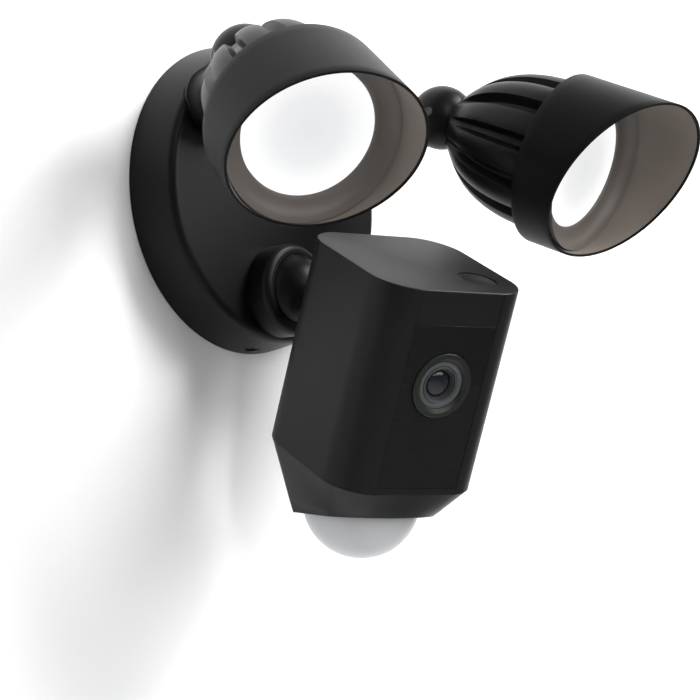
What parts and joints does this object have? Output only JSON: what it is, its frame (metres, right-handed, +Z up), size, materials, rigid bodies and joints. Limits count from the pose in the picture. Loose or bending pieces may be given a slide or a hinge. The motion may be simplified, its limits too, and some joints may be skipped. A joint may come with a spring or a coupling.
{
  "type": "floodlight security camera",
  "caption": "Wall-mounted floodlight security camera: round canopy, swivelling hooded lamp heads on short arms and a ball-jointed camera with a motion sensor dome.",
  "frame": {"origin": "centre of the canopy's back rim, on the wall plane, which is also the middle of the two box screws", "axes": "+X to the right seen from the front, +Y into the wall, +Z up; rest pose as in the picture"},
  "size_m": [0.2562, 0.1772, 0.2316],
  "materials": {
    "body_plastic": "fine-grained charcoal moulding, soft sheen",
    "cast_black": "die-cast aluminium with matte black powder coat",
    "hood_metal": "thin matte black powder coat, warm grey inside",
    "reflector_grey": "warm grey matte trim ring",
    "diffuser": "opal white diffuser, lit softly from behind",
    "front_gloss": "glossy near-black window",
    "grille_plastic": "matte charcoal with fine perforations",
    "bezel_satin": "satin black with an olive sheen",
    "light_guide": "translucent pale grey",
    "optic": "coated lens glass",
    "dome_milk": "translucent light grey sensor dome",
    "plate_steel": "zinc-plated sheet",
    "screw_steel": "plated fastener",
    "screw_black": "black-coated fastener",
    "foam": "closed-cell foam and rubber seals",
    "board_green": "glass-fibre circuit board",
    "board_white": "white-faced metal core board",
    "chips": "black moulded components",
    "terminal_white": "off-white terminal moulding",
    "led_yellow": "phosphor-coated emitters",
    "brass_nut": "plain brass",
    "slide_white": "slippery white moulding",
    "sensor_tan": "plain sensor cans and lenses"
  },
  "bodies": {
    "base": {"canopy": "body_plastic", "mounting_plate": "plate_steel", "wall_gasket": "foam", "canopy_screws": "screw_black", "power_board": "board_green", "power_parts": "chips", "terminal_block": "terminal_white", "ball_cup": "body_plastic", "ball_collar": "body_plastic", "left_arm_seal": "foam", "right_arm_seal": "foam"},
    "ball_seat": {"ball_seat": "slide_white"},
    "stem": {"camera_stem": "cast_black", "stem_nut": "brass_nut"},
    "camera": {"camera_housing": "body_plastic", "lower_cover": "body_plastic", "front_strip": "body_plastic", "front_glass": "front_gloss", "speaker_grille": "grille_plastic", "lens_bezel": "bezel_satin", "light_ring": "light_guide", "lens_barrel": "chips", "lens_glass": "optic", "image_sensor_board": "board_green", "status_light": "light_guide", "infrared_leds": "sensor_tan", "main_board": "board_green", "siren": "chips", "button_switch": "chips", "motion_dome": "dome_milk", "motion_board": "board_green", "motion_sensors": "sensor_tan", "cover_screws": "screw_black"},
    "button": {"setup_button": "body_plastic"},
    "left_arm": {"left_arm": "cast_black", "left_arm_nut": "screw_steel", "left_tilt_pin": "screw_black"},
    "left_pivot": {"left_tilt_pivot": "screw_steel", "left_pivot_nut": "screw_steel"},
    "left_lamp": {"left_lamp_housing": "cast_black", "left_lamp_hood": "hood_metal", "left_lamp_reflector": "reflector_grey", "left_lamp_lens": "diffuser", "left_lens_gasket": "foam", "left_led_board": "board_white", "left_leds": "led_yellow"},
    "right_arm": {"right_arm": "cast_black", "right_arm_nut": "screw_steel", "right_tilt_pin": "screw_black"},
    "right_pivot": {"right_tilt_pivot": "screw_steel", "right_pivot_nut": "screw_steel"},
    "right_lamp": {"right_lamp_housing": "cast_black", "right_lamp_hood": "hood_metal", "right_lamp_reflector": "reflector_grey", "right_lamp_lens": "diffuser", "right_lens_gasket": "foam", "right_led_board": "board_white", "right_leds": "led_yellow"}
  },
  "joints": [
    {"name": "left_arm_swivel", "type": "hinge", "parent": "base", "child": "left_arm", "pos_m": [-0.041, -0.0228, 0.0315], "axis": [-0.4982, -0.8491, 0.1754], "range_deg": [-20, 20]},
    {"name": "left_lamp_tilt", "type": "hinge", "parent": "left_arm", "child": "left_pivot", "pos_m": [-0.06491, -0.06356, 0.03992], "axis": [0.9178, -0.3971, 0], "range_deg": [-25, 11]},
    {"name": "left_lamp_spin", "type": "hinge", "parent": "left_pivot", "child": "left_lamp", "pos_m": [-0.06491, -0.06356, 0.03992], "axis": [-0.3237, -0.7481, -0.5793], "range_deg": [-60, 60]},
    {"name": "right_arm_swivel", "type": "hinge", "parent": "base", "child": "right_arm", "pos_m": [0.041, -0.0228, 0.0315], "axis": [0.4982, -0.8491, 0.1754], "range_deg": [-20, 20]},
    {"name": "right_lamp_tilt", "type": "hinge", "parent": "right_arm", "child": "right_pivot", "pos_m": [0.06491, -0.06356, 0.03992], "axis": [0.9778, 0.2096, 0], "range_deg": [-25, 20]},
    {"name": "right_lamp_spin", "type": "hinge", "parent": "right_pivot", "child": "right_lamp", "pos_m": [0.06491, -0.06356, 0.03992], "axis": [0.1918, -0.8946, -0.4035], "range_deg": [-60, 60]},
    {"name": "camera_pan", "type": "hinge", "parent": "base", "child": "ball_seat", "pos_m": [0, -0.0302, -0.044], "axis": [0, 0, 1], "range_deg": [-20, 35]},
    {"name": "camera_tilt", "type": "hinge", "parent": "ball_seat", "child": "stem", "pos_m": [0, -0.0302, -0.044], "axis": [0.9677, -0.2521, 0], "range_deg": [-10, 10]},
    {"name": "camera_roll", "type": "hinge", "parent": "stem", "child": "camera", "pos_m": [0, -0.0302, -0.044], "axis": [-0.2228, -0.8552, -0.4679], "range_deg": [-20, 20]},
    {"name": "setup_button_press", "type": "slide", "parent": "camera", "child": "button", "axis": [0.1718, 0.438, -0.8824], "range_m": [0, 0.001], "stiffness_N_per_m": 600, "springref_m": -0.001}
  ]
}
